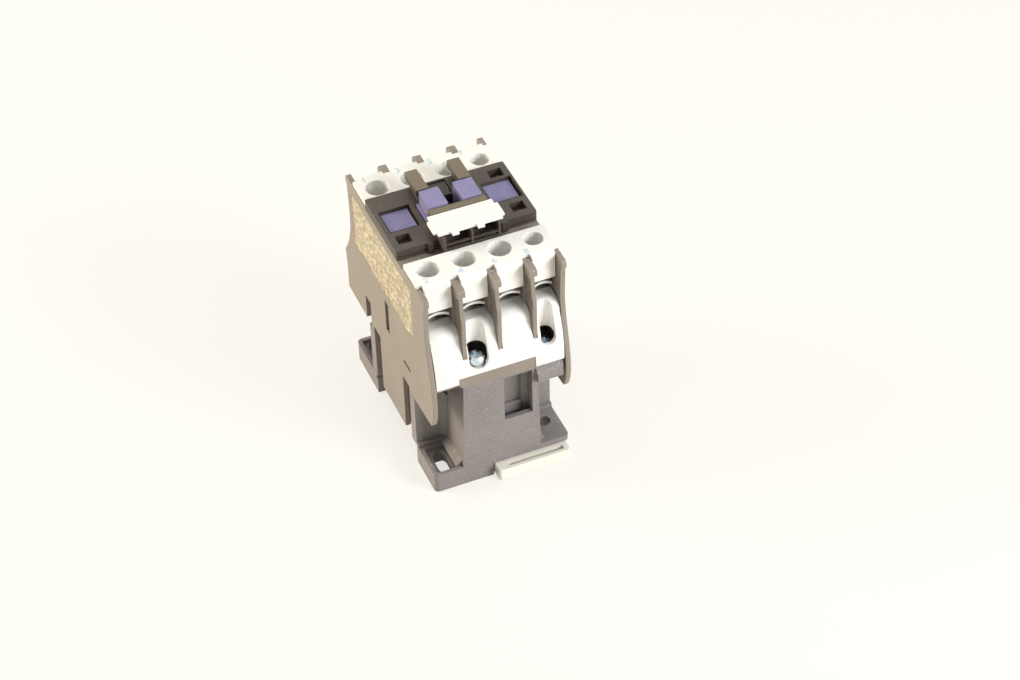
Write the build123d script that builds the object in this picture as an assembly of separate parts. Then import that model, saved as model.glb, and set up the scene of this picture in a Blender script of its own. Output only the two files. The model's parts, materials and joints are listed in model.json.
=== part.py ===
from build123d import *
from math import cos, pi, sin
import os

# A three-pole contactor with one normally closed auxiliary pole. It lies on its back:
# +Z points away from the panel, -Y to the load terminals, +X to the auxiliary pole.
# The origin is on the panel plane, in the middle of the feet. Sizes are in millimetres.

# A cutting solid runs this far past the face it cuts, and solids of one moulding lap by the second value
over = 1.0
join = 0.1
fit_step = 0.2

# Outside
width = 45.0
foot_reach = 33.9
near_reach = 35.0
far_reach = 38.0
side_wall = 1.6
shell_wall = 1.6

# Heights of the main levels
cavity_floor = 9.0
split_z = 37.0
ear_z = 40.7
ear_t = 2.1
ear_reach = 33.0
lip_reach = 34.4
lip_chamfer = 1.2
deck_z = 50.0
deck_t = 2.0
chamber_roof = 67.5
chamber_top = 76.0
wall_rise = 1.1
terminal_cover_rise = 2.5
front_rise = 3.6
post_rise = 5.0
carrier_rise = 5.4

# Rail channel and feet
rail_width = 35.2
rail_near_y = -18.9
rail_lip_z = 5.7
rail_lip_depth = 1.3
foot_t = 7.0
thin_foot_t = 2.1
foot_round = 1.5
foot_gusset = 2.1
foot_web = 1.4
gusset_sink = 0.3
foot_tray_depth = 1.5
foot_tray_rim = 1.3
foot_hollow_z = 1.6
foot_hollow_margin = 2.0
foot_pitch_x = 35.0
hole_pitch_y = 50.0
slot_pitch_y = 55.0
foot_hole_r = 2.25
slot_travel = 5.0

# Base moulding
cup_inset = 1.9
cup_wall = 1.4
cup_half_y = 18.9
post_depth = 4.0
post_top_z = 26.9
pillar_overlap = 0.5
pillar_draft = 0.9
pillar_cove = 2.5
horn_z = 34.6
horn_reach = 35.9
horn_round = 0.8
horn_bevel = 2.6
horn_slant = 1.4
horn_seat_rise = 3.0
horn_floor_t = 0.9
horn_inset = 4.5
window_near_x = 1.1
window_margin = 1.7
window_z = (22.0, 39.3)
window_depth = 5.4
window_back_t = 1.2
window_ledge_z = 24.0

# Poles: the auxiliary one has its own room, and the three main ones share the rest
main_poles = 3
barrier_t = 2.5
barrier_web_t = 1.3
aux_room = 7.75
barrier_foot_z = 51.0
barrier_thick_y = 27.8
barrier_front = 33.2
barrier_neck = 32.2
barrier_neck_z = 67.5
barrier_slope = 2.0
barrier_toe = 0.3
head_start = 26.4
head_reach = 31.4
head_lip = 1.0
head_chamfer = 0.7
head_drop = 3.3
head_toe = 0.8

# Side walls
skirt_foot_z = 28.4
skirt_inner_y = 17.2
skirt_inner_z = 27.1
skirt_slot_z = 28.7
tongue_half = 9.7
tongue_foot_z = 7.2
notch_y = (17.0, 21.2)
notch_top_z = 36.8
catch_y = (-16.9, -11.6)
catch_z = (36.0, 37.4)
side_slot_y = (0.1, 2.9)
side_slot_z = (37.6, 49.5)
panel_y = (-21.0, 28.0)
panel_z = (53.0, 72.5)
panel_recess = 0.15
wall_neck = (31.2, 65.8)
wall_shoulder = (33.0, 51.5)
far_belly_z = 43.1
far_heel_z = 37.3
far_heel_y = 37.3
far_skirt_z = 27.6
near_belly_z = 41.8
near_heel_z = 32.0
near_tip_y = 33.3
near_heel_inset = 0.2

# Arc chambers, terminal shelves and their strips
chamber_half_y = 13.3
roof_t = 2.0
hollow_side = 0.8
hollow_wall = 1.2
hollow_near_y = 9.4
block_half_y = 15.3
shelf_end_y = 24.0
strip_top = 61.5
strip_t = 1.5
strip_side_gap = 1.2
strip_fit = 0.1
riser_y = 11.5
terminal_y = 20.5
tip_y = 8.5
tip_r = 1.6
tip_h = 1.0
strip_inner_end = 6.4
strip_drop = 6.5
screw_floor_t = 2.0

# Moving contacts and their carrier
carrier_travel = 5.5
contact_travel = 3.5
contact_gap = 0.05
bridge_width = 5.6
bridge_t = 1.2
bridge_half = 10.3
bridge_corner = 1.0
window_gap = 0.4
carrier_half_y = 4.2
carrier_slide_gap = 0.3
carrier_side_gap = 0.5
slab_drop = 1.0
spring_room = 10.3
spring_room_aux = 6.3
contact_spring_r = 2.2
contact_wire = 0.6
contact_turns = 3
spring_end_share = 0.75

# Blue blocks and pads on the carrier
block_x = (2.3, 8.5)
block_y = (-2.3, 6.2)
ledge_drop = 4.5
ledge_t = 2.0
ledge_out = 0.9
ledge_l = 4.1
pad_wide = 8.5
pad_gap = 0.7
pad_y = (-0.6, 7.9)
pad_sink = 1.2
pad_t = 1.5
stem_inset = 0.9

# Magnet and coil
pad_rubber_t = 1.0
core_side_gap = 0.2
core_half_y = 7.0
yoke_t = 6.5
core_leg_top = 29.0
outer_leg = 5.5
centre_leg_half = 5.0
armature_leg = 7.0
rivet_r = 1.2
rivet_x = 9.5
rivet_head_r = 2.0
rivet_head_h = 0.5
fit_gap = 0.02
pin_r = 1.5
pin_below_top = 3.0
pin_half_y = 9.3
hanger_t = 2.0
hanger_half_x = 4.2
hanger_gap = 0.2
hanger_drop = 2.6
crossbar_t = 1.8
crossbar_half_y = 13.8
coil_gap = 0.4
bobbin_wall = 1.2
bobbin_gap = 0.5
bobbin_top = 35.0
flange_t = 1.5
flange_corner = 1.2
flange_seat = 3.0
arm_lap = 4.0
arm_rise = 1.5
flange_half_x = 13.2
flange_half_y = 16.6
winding_inset = 0.3
winding_corner = 2.5
return_spring_y = 11.6
return_spring_r = 1.6
return_wire = 0.6
return_turns = 4
ring_width = 0.8
ring_inset = (0.7, 1.5)
ring_depth = 1.2

# Screws and clamps
screw_r = 1.75
thread_gap = 0.05
pocket_gap = 0.65
screw_head_r = 2.8
screw_head_h = 2.3
screw_length = 8.4
head_sides = 12
head_crown = 0.3
small_sides = 8
spring_sides = 6
clamp_side_gap = 0.62
clamp_reach = 4.4
clamp_front = 6.1
clamp_t = 0.9
clamp_rise = 1.3
clamp_travel = 2.6
arch_steps = 8
clamp_gap = 0.1
seat_gap = 0.05
driver_slot = 0.9
driver_depth = 1.1
driver_reach = 0.62
coil_screw_inset = 4.9
coil_terminal_y = 30.6
coil_strip_w = 6.6
coil_strip_gap = 0.5
coil_strip_foot_y = 10.5
coil_strip_riser_y = 15.6
coil_strip_end_y = 33.0
coil_strip_t = 1.0
coil_clamp_travel = 2.0
coil_screw_length = 6.6
coil_head_r = 2.3
coil_head_h = 1.9
coil_washer_x = 6.2
coil_washer_t = 0.8
case_screw_r = 1.5
case_screw_head_r = 2.75
case_screw_head_h = 2.2
case_screw_out = 1.375
case_screw_y = 31.0
case_screw_head_z = 49.7
case_screw_foot_z = 14.0
case_boss_r = 2.7

# White covers and shrouds
cover_edge_gap = 0.2
cover_inner_y = 15.6
cover_front_y = 28.3
cover_skirt_t = 1.3
cover_skirt_z = 68.5
cover_corner_r = 1.5
tongue_drop = 0.6
pole_gap = 0.25
tube_wall = 0.65
tube_gap = 0.175
tube_sides = 16
tube_foot_z = 70.0
shroud_t = 1.4
shroud_top = 61.3
shroud_inner_y = 24.2
shroud_corner_r = 4.3
shroud_flat_y = 27.0
shroud_reach = 34.6
shroud_belly = (33.3, 51.3)
shroud_foot_z = 42.9
lip_top_z = 44.9
lip_overlap = 1.9
web_slot_gap = 0.15
driver_channel_r = 3.1
driver_channel_sill = 46.5
driver_channel_back = 52.5
coil_channel_r = 2.4
coil_channel_sill = 47.4
coil_channel_back = 50.4
channel_wall = 1.2

# Front cover
cover_far_y = 15.4
cover_near_y = -10.9
cover_skin = 2.0
cover_round = 0.6
groove_depth = 0.4
groove_rise = 1.0
groove_t = 0.8
opening_gap = 0.3
port_inset = 1.1
port_wide = 9.9
port_shift = 0.4
port_wall = 1.1
port_y = (-2.2, 8.1)
port_well_z = 69.2
pocket_inset = 2.0
pocket_wide = 4.5
pocket_wall = 0.8
pocket_near_y = (-8.2, -4.2)
pocket_far_y = (9.0, 12.9)
pocket_depth = 2.8
post_x = (4.9, 8.8)
post_y = (7.2, 16.9)
post_head_t = 2.2
post_neck = 0.7
tray_x = (-3.3, 3.5)
tray_y = (6.9, 14.6)
tray_rim = 0.6
tray_sink = 1.2
hatch_near_y = 4.0
frame_half_x = 9.1
frame_wall = 0.8
frame_front_y = -15.2
frame_bar_y = -4.9
frame_bar_t = 0.9
frame_sill_drop = 1.5
frame_shelf_rise = 0.4
frame_rib_t = 0.7
lug_x = 11.8
lug_half = 0.9
lug_out = 0.9
plate_rise = 3.9
plate_t = 0.9
plate_half_x = 11.3
plate_y = (-14.1, -5.1)
plate_tab_x = (-5.2, 2.9)
plate_tab_w = 2.2
plate_tab_l = 1.3
plate_step = (1.2, 2.2)

# Rail clip
clip_x = (-2.6, 21.2)
clip_z = (0.5, 4.6)
clip_reach = 37.6
clip_nose_y = -17.6
clip_nose_l = 1.2
clip_nose_chamfer = 1.1
clip_nose_step = 0.9
clip_round = 1.0
clip_travel = 5.0
clip_gap = 0.3
keeper_x = 10.0
keeper_y = (-30.0, -27.0)
keeper_half = 1.0
keeper_head = 1.0
keeper_gap = 0.2
keeper_head_z = (0.7, 1.6)
clip_spring_x = 3.5
clip_spring_r = 1.1
clip_wire = 0.5
clip_turns = 5
clip_window_half = 2.0
clip_window_far_y = -22.0
peg_y = (-32.6, -31.5)
peg_gap = 0.4
peg_rise = 0.5
handle_slot_x = (1.2, 19.6)
handle_slot_y = (-36.5, -34.9)

# Places worked out from the sizes above
wall_top = chamber_top + wall_rise
terminal_cover_top = chamber_top + terminal_cover_rise
front_z = chamber_top + front_rise
post_top = front_z + post_rise
carrier_top = front_z + carrier_rise
slab_top = chamber_top - slab_drop
ledge_z = carrier_top - ledge_drop
pad_top = front_z - pad_sink
plate_foot = front_z + plate_rise
frame_sill_z = front_z - frame_sill_drop
half_width = width / 2
inner_half = half_width - side_wall
main_pitch = (2 * inner_half - aux_room) / main_poles
barrier_x = [-inner_half + main_pitch - barrier_t / 2 + i * main_pitch for i in range(main_poles)]
pole_lows = [-inner_half] + [x + barrier_t / 2 for x in barrier_x]
pole_highs = [x - barrier_t / 2 for x in barrier_x] + [inner_half]
pole_x = [(low + high) / 2 for low, high in zip(pole_lows, pole_highs)]
pole_room = [high - low for low, high in zip(pole_lows, pole_highs)]
hole_r = [room / 2 - tube_wall - tube_gap for room in pole_room]
rail_far_y = rail_near_y + rail_width
cup_half_x = half_width - cup_inset
core_half_x = cup_half_x - cup_wall - core_side_gap
coil_terminal_x = inner_half - coil_screw_inset
case_screw_x = case_screw_out - pole_x[1]
horn_inner_x = coil_terminal_x - horn_inset
pillar_half_top = horn_inner_x + pillar_overlap
pillar_half_foot = pillar_half_top + pillar_draft
window_x = (window_near_x, pillar_half_top - window_margin)
lip_half_x = horn_inner_x + lip_overlap
port_x = (half_width - port_inset - port_wide, half_width - port_inset)
pad_x = (port_x[0] + pad_gap, port_x[0] + pad_gap + pad_wide)
pocket_x = (half_width - pocket_inset - pocket_wide, half_width - pocket_inset)
recess_top = foot_t - thin_foot_t
strip_foot = strip_top - strip_t
tip_level = strip_top - strip_drop + tip_h
bridge_z = tip_level + contact_travel + contact_gap + tip_h
aux_bridge_z = strip_foot - 2 * tip_h - contact_gap - bridge_t
over_travel = carrier_travel - contact_travel
core_foot = cavity_floor + pad_rubber_t
armature_foot = core_leg_top + carrier_travel + contact_gap
armature_top = armature_foot + armature_leg + yoke_t
pin_z = armature_top - pin_below_top
slab_foot = armature_top + contact_gap
slab_half_x = inner_half - carrier_side_gap
slot_half_x = slab_half_x + carrier_slide_gap
slot_half_y = carrier_half_y + carrier_slide_gap
pocket_y = (block_y[0] - 2 * opening_gap, pad_y[1] + 2 * opening_gap)
clamp_foot = strip_top + clamp_gap + clamp_travel
clamp_crown = clamp_foot + clamp_rise + clamp_t
coil_strip_top = ear_z + coil_strip_t
coil_washer_foot = coil_strip_top + clamp_gap + coil_clamp_travel
bobbin_foot = core_foot + yoke_t + bobbin_gap
case_head_foot = case_screw_head_z - case_screw_head_h
cover_skin_z = front_z - cover_skin
clip_window_x = (clip_spring_x - clip_window_half, clip_spring_x + clip_window_half)
clip_spring_z = (clip_z[0] + clip_z[1]) / 2


def block(x0, x1, y0, y1, z0, z1):
    """A box between two opposite corners."""
    centre = Pos((x0 + x1) / 2, (y0 + y1) / 2, (z0 + z1) / 2)
    return centre * Box(abs(x1 - x0), abs(y1 - y0), abs(z1 - z0))


def outline_x(lines, x0, x1):
    """A closed outline in Y and Z, drawn out along X."""
    face = Plane.YZ.offset(x0) * make_face(lines)
    return extrude(face, amount=x1 - x0, dir=(1, 0, 0))


def outline_y(lines, y0, y1):
    """A closed outline in X and Z, drawn out along Y."""
    face = Plane.XZ.offset(-y0) * make_face(lines)
    return extrude(face, amount=y1 - y0, dir=(0, 1, 0))


def plate_round(x0, x1, y0, y1, z0, z1, r):
    """A flat plate with four rounded corners."""
    sketch = RectangleRounded(abs(x1 - x0), abs(y1 - y0), r)
    return Pos((x0 + x1) / 2, (y0 + y1) / 2, z0) * extrude(sketch, amount=z1 - z0)


def post_round(x, y, r, z0, z1):
    """A round post or bore along Z."""
    return Pos(x, y, (z0 + z1) / 2) * Cylinder(r, z1 - z0)


def bar_round(x, z, r, y0, y1):
    """A round pin or bore along Y."""
    return Pos(x, (y0 + y1) / 2, z) * Rot(90, 0, 0) * Cylinder(r, y1 - y0)


def prism_round(x, y, r, z0, z1, sides=small_sides):
    """A small round post or bore along Z, as a prism of few sides."""
    return Pos(x, y, z0) * extrude(RegularPolygon(r, sides), amount=z1 - z0)


def prism_bar(x, z, r, y0, y1):
    """A small round pin or bore along Y, as a prism of few sides."""
    return Pos(x, y1, z) * Rot(90, 0, 0) * extrude(RegularPolygon(r, small_sides), amount=y1 - y0)


def mirrored(piece):
    """The piece and its twin on the other side of the YZ plane."""
    return piece + mirror(piece, about=Plane.YZ)


def both_ends(piece):
    """The piece and its twin at the other end, over the XZ plane."""
    return piece + mirror(piece, about=Plane.XZ)


def foot_slot(x, y):
    """A slotted hole through a foot, long in Y."""
    half = slot_travel / 2
    ends = post_round(x, y - half, foot_hole_r, -over, foot_t + over)
    ends += post_round(x, y + half, foot_hole_r, -over, foot_t + over)
    return ends + block(x - foot_hole_r, x + foot_hole_r, y - half, y + half, -over, foot_t + over)


def coil_spring(r, wire, length, turns):
    """An open coil spring along Z from the origin, of square wire."""
    steps = spring_sides * turns
    low = spring_end_share * wire
    rise = (length - 2 * low) / steps
    turn = 2 * pi / spring_sides
    points = [(r * cos(turn * i), r * sin(turn * i), low + rise * i) for i in range(steps + 1)]
    path = Polyline(*points)
    section = Plane(origin=path @ 0, x_dir=(1, 0, 0), z_dir=path % 0) * Rectangle(wire, wire)
    return sweep(section, path=path, transition=Transition.RIGHT)


def pan_screw(head_r, head_h, r, length):
    """A pan-head screw with a cross recess, its head resting on Z = 0."""
    head = prism_round(0, 0, head_r, 0, head_h, head_sides)
    head = chamfer(head.faces().sort_by(Axis.Z)[-1].edges(), head_h * head_crown)
    arm = head_r * driver_reach
    recess = Pos(0, 0, head_h - driver_depth / 2) * Box(2 * arm, driver_slot, driver_depth)
    recess += Pos(0, 0, head_h - driver_depth / 2) * Box(driver_slot, 2 * arm, driver_depth)
    return head - recess + prism_round(0, 0, r, -length, 0)


def end_pillar(side):
    """A hollow end pillar with one window, narrower at its top."""
    inner = side * cup_half_y
    outer = side * foot_reach
    shape = Polyline(
        (-pillar_half_foot, foot_t), (pillar_half_foot, foot_t),
        (pillar_half_top, ear_z), (-pillar_half_top, ear_z), close=True,
    )
    solid = outline_y(shape, min(inner, outer), max(inner, outer))
    room_x = pillar_half_top - shell_wall
    room_out = side * (foot_reach - shell_wall)
    solid -= block(-room_x, room_x, side * cup_half_y, room_out, foot_t, ear_z + over)
    solid -= block(
        -side * window_x[0], -side * window_x[1],
        side * (foot_reach - 2 * shell_wall), side * (foot_reach + over), window_z[0], window_z[1],
    )
    back = side * (foot_reach - window_depth)
    behind = back - side * window_back_t
    solid += block(-room_x, room_x, behind, back, foot_t, ear_z)
    ledge = block(
        -side * window_x[0], -side * window_x[1], back - side * join, back + side, foot_t, window_ledge_z
    )
    solid += ledge + prism_round(
        -side * window_x[1], behind, window_depth / 2, foot_t, ear_z, tube_sides
    )
    for edge in (-1, 1):
        cove = block(
            edge * (pillar_half_top - join), edge * (pillar_half_foot + pillar_cove),
            inner - side * join, side * (cup_half_y + pillar_cove), foot_t, post_top_z,
        )
        cove -= post_round(
            edge * (pillar_half_foot + pillar_cove), side * (cup_half_y + pillar_cove), pillar_cove,
            foot_t - over, post_top_z + over,
        )
        solid += cove
    return solid + prism_round(
        side * case_screw_x, side * case_screw_y, case_boss_r, foot_t, ear_z, head_sides
    )


def horn(side):
    """The coil terminal support beside a pillar, with its screw pocket."""
    x_in = -side * horn_inner_x
    x_out = -side * (inner_half - coil_strip_gap)
    horn_top = ear_z - fit_step
    shape = Polyline(
        (side * cup_half_y, horn_z), (side * (horn_reach - horn_round), horn_z),
        (side * horn_reach, horn_z + horn_round), (side * horn_reach, horn_top - horn_bevel),
        (side * (horn_reach - horn_bevel), horn_top), (side * cup_half_y, horn_top), close=True,
    )
    solid = outline_x(shape, min(x_in, x_out), max(x_in, x_out))
    slant = Polyline(
        (x_out, side * (horn_reach - horn_slant)), (x_out, side * (horn_reach + over)),
        (x_out + side * (horn_slant + over), side * (horn_reach + over)), close=True,
    )
    height = horn_top - horn_z + 2 * over
    solid -= Pos(0, 0, horn_z - over) * extrude(make_face(slant), amount=height, dir=(0, 0, 1))
    solid += block(
        x_in, x_out, side * cup_half_y, side * (horn_reach - horn_bevel), horn_z + horn_seat_rise, ear_z
    )
    pocket = prism_round(
        -side * coil_terminal_x, side * coil_terminal_y,
        screw_r + pocket_gap, horn_z + horn_floor_t, ear_z + over
    )
    return solid - pocket


def base_feet():
    """The feet under both ends, with the rail hook and the four mounting holes."""
    near = plate_round(-half_width, half_width, -foot_reach, rail_near_y, 0, foot_t, foot_round)
    near += block(-half_width, half_width, rail_near_y - 2 * foot_round, rail_near_y, 0, foot_t)
    far = plate_round(-half_width, half_width, rail_far_y, foot_reach, 0, foot_t, foot_round)
    far += block(-half_width, half_width, rail_far_y, rail_far_y + 2 * foot_round, 0, foot_t)
    far += block(-half_width, half_width, rail_far_y - rail_lip_depth, rail_far_y, 0, rail_lip_z)
    room_x = pillar_half_top - shell_wall
    far -= block(-room_x, room_x, cup_half_y, foot_reach - shell_wall, -over, recess_top)
    near -= block(
        clip_x[0] - clip_gap - join, half_width + over,
        -foot_reach - over, rail_near_y + over, -over, recess_top
    )
    hole_x = foot_pitch_x / 2
    room = foot_hole_r + foot_hollow_margin
    for side in (-1, 1):
        bore = post_round(hole_x, side * hole_pitch_y / 2, foot_hole_r, -over, foot_t + over)
        y = side * slot_pitch_y / 2
        slot = foot_slot(-hole_x, y)
        slot += block(
            -hole_x - room, -hole_x + room, y - room - slot_travel / 2 + over,
            y + room + slot_travel / 2 - over,
            -over, foot_hollow_z,
        )
        slot += block(
            -half_width + foot_tray_rim, -pillar_half_foot - over,
            side * (cup_half_y + pillar_cove), side * (foot_reach - foot_tray_rim),
            foot_t - foot_tray_depth, foot_t + over,
        )
        near -= bore + slot
        far -= bore + slot
    return near + far


def clip_guides():
    """The T-shaped keeper that holds the rail clip up, and the peg its spring leans on."""
    x0, x1 = keeper_x - keeper_half, keeper_x + keeper_half
    guides = block(x0, x1, keeper_y[0], keeper_y[1], keeper_head_z[0], recess_top + join)
    guides += block(
        x0 - keeper_head, x1 + keeper_head, keeper_y[0], keeper_y[1], keeper_head_z[0], keeper_head_z[1]
    )
    peg_half = clip_window_half - clip_gap
    guides += block(
        clip_spring_x - peg_half, clip_spring_x + peg_half, peg_y[0], peg_y[1],
        clip_z[0] + peg_rise, recess_top + join,
    )
    return guides


def base_housing():
    """The lower moulding: coil cup, pillars, horns, feet and rail channel."""
    body = block(-cup_half_x, cup_half_x, -cup_half_y, cup_half_y, foot_t, split_z)
    body += base_feet() + clip_guides()
    for side in (-1, 1):
        body += end_pillar(side) + horn(side)
    post = block(
        cup_half_x - join, half_width, cup_half_y - post_depth, cup_half_y, foot_t, post_top_z
    )
    body += both_ends(mirrored(post))
    body += block(
        -half_width, half_width, -cup_half_y - foot_web, -cup_half_y, foot_t - over, foot_t + foot_web
    )
    gusset = Polyline(
        (-pillar_half_foot - foot_gusset, foot_t), (-pillar_half_foot + gusset_sink, foot_t),
        (-pillar_half_foot + gusset_sink, foot_t + foot_gusset), close=True,
    )
    body += both_ends(mirrored(outline_y(gusset, -foot_reach + foot_round, -cup_half_y)))
    room_x = cup_half_x - cup_wall
    room_y = cup_half_y - cup_wall
    body -= block(-room_x, room_x, -room_y, room_y, cavity_floor, split_z + over)
    ledge = block(
        -pillar_half_top, pillar_half_top, room_y + join,
        flange_half_y - flange_seat, cavity_floor, bobbin_foot
    )
    body += both_ends(ledge)
    for side in (-1, 1):
        body -= prism_round(
            side * case_screw_x, side * case_screw_y, case_screw_r + thread_gap,
            case_screw_foot_z - over, ear_z + over,
        )
    return body


def head_points(side):
    """The hooked head that ends each wall and barrier, from the neck up to its top."""
    reach = head_reach + head_lip
    points = [
        (head_reach + fit_step, wall_top - head_drop), (reach, wall_top - head_drop + head_toe),
        (reach, wall_top - head_chamfer), (reach - head_chamfer, wall_top),
        (block_half_y + join, wall_top), (block_half_y + join, chamber_top),
    ]
    return [(side * y, z) for y, z in points]


def side_wall_lines():
    """The outline of a side wall in Y and Z."""
    neck = (-wall_neck[0], wall_neck[1])
    top = Polyline(neck, *head_points(-1), *reversed(head_points(1)), wall_neck)
    far_edge = Spline(wall_neck, wall_shoulder, (far_reach, far_belly_z))
    slot_out = cup_half_y - post_depth
    under = Polyline(
        (far_reach, far_belly_z), (far_heel_y, far_heel_z), (far_heel_y, far_skirt_z),
        (notch_y[1], far_skirt_z), (notch_y[1], notch_top_z), (notch_y[0], notch_top_z),
        (notch_y[0], skirt_inner_z), (slot_out, skirt_inner_z), (slot_out, skirt_slot_z),
        (tongue_half, skirt_slot_z), (tongue_half, tongue_foot_z), (-tongue_half, tongue_foot_z),
        (-tongue_half, skirt_slot_z), (-slot_out, skirt_slot_z), (-slot_out, skirt_inner_z),
        (-skirt_inner_y, skirt_inner_z), (-near_tip_y, skirt_foot_z),
    )
    near_edge = Spline(
        (-near_tip_y, skirt_foot_z), (-near_reach + near_heel_inset, near_heel_z),
        (-near_reach, near_belly_z),
        (-wall_shoulder[0], wall_shoulder[1]), neck,
    )
    return top + far_edge + under + near_edge


def side_walls():
    """Both side walls with their slots, catches and blank label panels."""
    wall = outline_x(side_wall_lines(), inner_half, half_width)
    x0, x1 = inner_half - over, half_width + over
    wall -= block(x0, x1, side_slot_y[0], side_slot_y[1], side_slot_z[0], side_slot_z[1])
    wall -= block(x0, x1, catch_y[0], catch_y[1], catch_z[0], catch_z[1])
    wall -= block(half_width - panel_recess, x1, panel_y[0], panel_y[1], panel_z[0], panel_z[1])
    return mirrored(wall)


def barrier(side, x):
    """A barrier between two poles: thick beside the chambers and at its head, and a thin web in front."""
    inner = block_half_y - over
    thick = [
        (inner, chamber_top), (inner, barrier_foot_z),
        (shelf_end_y, barrier_foot_z), (shelf_end_y, strip_top),
        (barrier_thick_y, strip_top), (barrier_thick_y, wall_top - head_drop),
    ]
    web = [
        (inner, chamber_top), (inner, barrier_foot_z), (barrier_front - barrier_toe, barrier_foot_z),
        (barrier_front, barrier_foot_z + 2 * barrier_toe), (barrier_front, barrier_neck_z - barrier_slope),
        (barrier_neck, barrier_neck_z),
    ]
    body = None
    for points, half in ((thick, barrier_t / 2), (web, barrier_web_t / 2)):
        shape = Polyline(*[(side * y, z) for y, z in points], *head_points(side), close=True)
        layer = outline_x(shape, x - half, x + half)
        body = layer if body is None else body + layer
    return body


def terminal_shelf(side):
    """The shelf that carries the terminal strips, with a screw pocket under each."""
    shelf = block(
        -inner_half, inner_half, side * block_half_y, side * shelf_end_y, barrier_foot_z, strip_foot
    )
    for x in pole_x:
        shelf -= prism_round(
            x, side * terminal_y, screw_r + pocket_gap, barrier_foot_z + screw_floor_t, strip_foot + over
        )
    for x in barrier_x:
        shelf += barrier(side, x)
    return shelf


def strip_width(index):
    """The width of the terminal strip in one pole."""
    return pole_room[index] - 2 * strip_side_gap


def arc_block():
    """The middle block: four arc chambers, the carrier slot and the pocket for the blue pads."""
    body = block(-inner_half, inner_half, -block_half_y, block_half_y, deck_z, chamber_top)
    floor = deck_z + deck_t
    for index, x in enumerate(pole_x):
        low, high = pole_lows[index], pole_highs[index]
        body -= block(low, high, -chamber_half_y, chamber_half_y, floor, chamber_roof)
        half = strip_width(index) / 2 + strip_fit
        passage = block(
            x - half, x + half, chamber_half_y - over,
            block_half_y + over / 2, strip_foot, strip_top + strip_fit
        )
        body -= both_ends(passage)
        x0, x1 = low + hollow_side, high - hollow_side
        floor_z = chamber_roof + roof_t
        body -= block(x0, x1, -hollow_near_y, -slot_half_y - hollow_wall, floor_z, chamber_top + over)
        body -= block(x0, x1, pocket_y[1] + hollow_wall, chamber_half_y, floor_z, chamber_top + over)
    for x in pole_x[:main_poles]:
        anvil_top = strip_top - strip_drop - strip_t
        anvil = block(x - tip_r, x + tip_r, tip_y - tip_r, tip_y + tip_r, floor, anvil_top)
        body += both_ends(anvil)
    body -= block(-slot_half_x, slot_half_x, -slot_half_y, slot_half_y, deck_z - over, chamber_top + over)
    return body


def ear_plate(side):
    """The ledge over a pillar, with its upright lip and the seat of a case screw."""
    x_long = side * inner_half
    x_short = -side * (horn_inner_x - fit_step)
    plate = block(x_long, x_short, side * (cup_half_y - over / 2), side * ear_reach, ear_z, ear_z + ear_t)
    lip_x = side * lip_half_x
    lip = block(lip_x, x_short, side * (ear_reach - join), side * lip_reach, ear_z, lip_top_z)
    corner = lip.edges().filter_by(Axis.Y).sort_by(Axis.Z)[:2]
    corner = corner.sort_by(Axis.X)[0] if side < 0 else corner.sort_by(Axis.X)[-1]
    lip = chamfer(corner, lip_chamfer)
    x, y = side * case_screw_x, side * case_screw_y
    boss = prism_round(x, y, case_boss_r, ear_z + over, case_head_foot, head_sides)
    boss -= block(
        x - 2 * case_boss_r, x + 2 * case_boss_r,
        side * (ear_reach - fit_step), side * (ear_reach + case_boss_r),
        ear_z + ear_t, case_head_foot + over,
    )
    plate += lip + boss
    return plate - prism_round(x, y, case_screw_r + clamp_gap, ear_z - over, case_head_foot + over)


def contact_housing():
    """The upper moulding: side walls, barriers, arc chambers, shelves and the skirt over the magnet."""
    body = side_walls() + arc_block()
    wall_in = cup_half_y - shell_wall
    for side in (-1, 1):
        end = block(
            -inner_half, inner_half, side * wall_in, side * cup_half_y, split_z, barrier_foot_z + over
        )
        half = coil_strip_w / 2 + strip_fit
        x = -side * coil_terminal_x
        end -= block(
            x - half, x + half, side * (wall_in - over), side * (cup_half_y + over),
            ear_z - strip_fit, coil_strip_top + strip_fit,
        )
        roof = block(
            -inner_half, inner_half, side * (block_half_y - over),
            side * cup_half_y, deck_z, barrier_foot_z + over
        )
        body += end + roof + terminal_shelf(side)
        body += ear_plate(side)
    well = half_width - port_wall
    return body - block(-well, well, pocket_y[0], pocket_y[1], port_well_z, wall_top + over)


def cover_posts():
    """The guide posts at the far edge: a thick head over a narrower neck."""
    x0, x1 = post_x
    y0, y1 = post_y
    far = cover_far_y - opening_gap
    neck = block(x0 + post_neck, x1 - post_neck, y0 + post_neck, far, cover_skin_z, post_top)
    head = block(x0, x1, y0, y1, post_top - post_head_t, post_top)
    return mirrored(neck + head)


def plate_bracket():
    """The bar, the walls, the sill and the ribs that hold the marker plate."""
    bar_far_y = block_y[0] - opening_gap
    bar = block(-frame_half_x, frame_half_x, frame_bar_y, bar_far_y, cover_skin_z, post_top - join)
    wall = block(
        frame_half_x - frame_wall, frame_half_x, frame_front_y, frame_bar_y, frame_sill_z, plate_foot
    )
    far = frame_front_y + frame_bar_t
    sill = block(-frame_half_x, frame_half_x, frame_front_y, far, frame_sill_z, frame_sill_z + frame_bar_t)
    rib = block(-frame_rib_t / 2, frame_rib_t / 2, frame_front_y, frame_bar_y, frame_sill_z, plate_foot)
    shelf_z = front_z + frame_shelf_rise
    shelf = block(
        -frame_half_x, frame_half_x, frame_front_y + fit_step, far, shelf_z, shelf_z + frame_bar_t / 2
    )
    near = cover_near_y - lug_out
    lug = block(lug_x - lug_half, lug_x + lug_half, near, cover_near_y + over, chamber_top, front_z)
    return bar + mirrored(wall + lug) + sill + rib + shelf


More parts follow.
